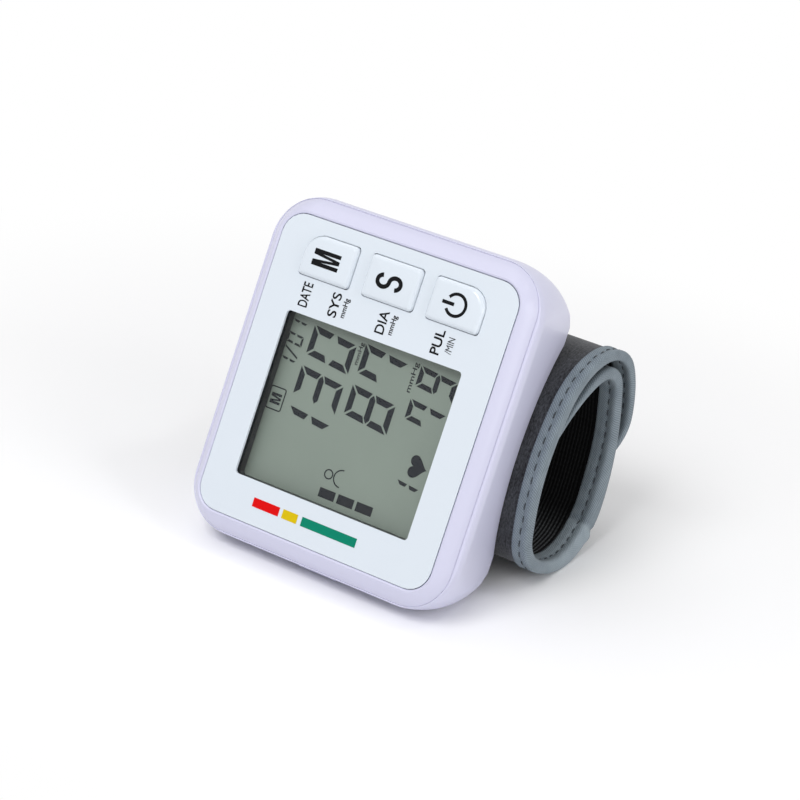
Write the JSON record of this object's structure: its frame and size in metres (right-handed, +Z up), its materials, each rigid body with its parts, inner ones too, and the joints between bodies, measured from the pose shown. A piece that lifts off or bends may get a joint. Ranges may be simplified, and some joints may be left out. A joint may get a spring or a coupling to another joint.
{
  "type": "wrist blood pressure monitor",
  "caption": "Wrist blood pressure monitor: crowned housing with display and push buttons, closed by a padded fabric cuff wound into a loop.",
  "frame": {"origin": "centre of the footprint on the surface that the device stands on", "axes": "+X along the wrist to the side where the power button is, -Y the way the display faces, +Z up"},
  "size_m": [0.0772, 0.072, 0.0745],
  "materials": {
    "lilac_plastic": "moulded, satin",
    "white_plate": "moulded, glossy",
    "lens_clear": "clear, polished",
    "black_plastic": "moulded, matt",
    "display_glass": "grey-green liquid crystal glass",
    "tray_plastic": "white, matt",
    "strip_rubber": "layered conductive rubber",
    "board_laminate": "green solder mask",
    "plain_steel": "zinc plated",
    "nickel_steel": "nickel plated",
    "brass": "turned",
    "natural_plastic": "moulded, matt",
    "hose_rubber": "silicone",
    "cell_jacket": "printed jacket, plain",
    "dark_rubber": "moulded",
    "cuff_fabric": "brushed loop fabric, heather grey",
    "lining_fabric": "ribbed mesh, black",
    "binding_fabric": "woven tape, grey-blue, one row of stitches",
    "bladder_rubber": "welded film"
  },
  "bodies": {
    "monitor": {"face_plate": "white_plate", "front_shell": "lilac_plastic", "rear_shell": "lilac_plastic", "screw_top_left": "plain_steel", "screw_top_right": "plain_steel", "screw_low_left": "plain_steel", "screw_low_right": "plain_steel", "display_lens": "lens_clear", "display_gasket": "black_plastic", "display_cell": "display_glass", "display_tray": "tray_plastic", "contact_strip": "strip_rubber", "circuit_board": "board_laminate", "main_chip": "black_plastic", "buzzer": "black_plastic", "rear_cell": "cell_jacket", "front_cell": "cell_jacket", "rear_cell_spring": "nickel_steel", "front_cell_spring": "nickel_steel", "plus_contact": "nickel_steel", "minus_contact": "nickel_steel", "contact_bridge": "nickel_steel", "motor_can": "plain_steel", "motor_cap": "black_plastic", "pump_head": "natural_plastic", "pump_diaphragm": "dark_rubber", "pump_cover": "natural_plastic", "air_manifold": "natural_plastic", "pressure_sensor": "black_plastic", "release_valve": "plain_steel", "sensor_hose": "hose_rubber", "valve_hose": "hose_rubber", "pump_hose": "hose_rubber", "cuff_hose": "hose_rubber", "outer_fabric": "cuff_fabric", "cuff_lining": "lining_fabric", "binding_left": "binding_fabric", "binding_right": "binding_fabric", "air_bladder": "bladder_rubber", "clip_plate": "black_plastic", "hook_pad": "black_plastic", "memory_switch": "black_plastic", "set_switch": "black_plastic", "power_switch": "black_plastic"},
    "memory_key": {"memory_button": "white_plate", "memory_plunger": "natural_plastic"},
    "set_key": {"set_button": "white_plate", "set_plunger": "natural_plastic"},
    "power_key": {"power_button": "white_plate", "power_plunger": "natural_plastic"},
    "door": {"battery_door": "lilac_plastic"},
    "rotor": {"motor_shaft": "plain_steel", "eccentric": "brass"},
    "valve_core": {"valve_plunger": "brass"}
  },
  "joints": [
    {"name": "memory_press", "type": "slide", "parent": "monitor", "child": "memory_key", "axis": [0, 0.9181, -0.3965], "range_m": [0, 0.0006], "stiffness_N_per_m": 800, "springref_m": -0.0005},
    {"name": "set_press", "type": "slide", "parent": "monitor", "child": "set_key", "axis": [0, 0.9181, -0.3965], "range_m": [0, 0.0006], "stiffness_N_per_m": 800, "springref_m": -0.0005},
    {"name": "power_press", "type": "slide", "parent": "monitor", "child": "power_key", "axis": [0, 0.9181, -0.3965], "range_m": [0, 0.0006], "stiffness_N_per_m": 800, "springref_m": -0.0005},
    {"name": "battery_door_slide", "type": "slide", "parent": "monitor", "child": "door", "axis": [0, -0.3965, -0.9181], "range_m": [0, 0.02]},
    {"name": "motor_spin", "type": "hinge", "parent": "monitor", "child": "rotor", "pos_m": [-0.002, 0.00281, 0.05698], "axis": [1, 0, 0], "continuous": true},
    {"name": "valve_press", "type": "slide", "parent": "monitor", "child": "valve_core", "axis": [-1, 0, 0], "range_m": [0, 0.0008], "stiffness_N_per_m": 150, "springref_m": -0.001}
  ]
}
